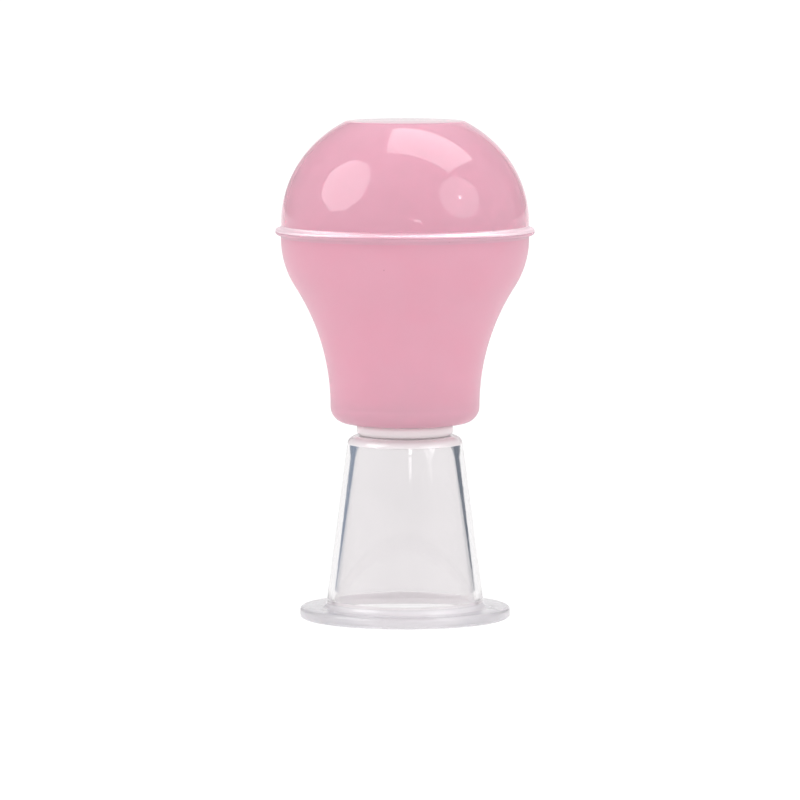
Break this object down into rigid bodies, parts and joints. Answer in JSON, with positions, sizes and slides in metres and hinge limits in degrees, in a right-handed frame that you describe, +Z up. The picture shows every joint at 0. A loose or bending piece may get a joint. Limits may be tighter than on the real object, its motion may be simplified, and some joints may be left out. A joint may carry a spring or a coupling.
{
  "type": "silicone cupping cup",
  "caption": "Squeeze-bulb cupping cup: a clear tapered cup with a flat skin rim and a hollow spigot, under a soft pink two-part silicone bulb.",
  "frame": {"origin": "centre of the flange's underside, where the rim meets the skin", "axes": "+Z up along the axis of the cup and bulb"},
  "size_m": [0.049, 0.049, 0.0944],
  "materials": {
    "clear_cup": "polished clear moulding",
    "milky_silicone": "translucent, smooth",
    "satin_silicone": "translucent, satin",
    "polished_silicone": "translucent, polished"
  },
  "bodies": {
    "cup": {"cup": "clear_cup"},
    "ring": {"seal_ring": "milky_silicone"},
    "bulb": {"bulb_body": "satin_silicone"},
    "dome": {"bulb_dome": "polished_silicone"}
  },
  "joints": [
    {"name": "bulb_swivel", "type": "hinge", "parent": "cup", "child": "ring", "pos_m": [0, 0, 0.0358], "axis": [0, 0, 1], "continuous": true},
    {"name": "bulb_pull_off", "type": "slide", "parent": "ring", "child": "bulb", "axis": [0, 0, 1], "range_m": [0, 0.02]},
    {"name": "bulb_press", "type": "slide", "parent": "bulb", "child": "dome", "axis": [0, 0, -1], "range_m": [0, 0.012], "stiffness_N_per_m": 700, "deforming": ["bulb_body"]}
  ]
}
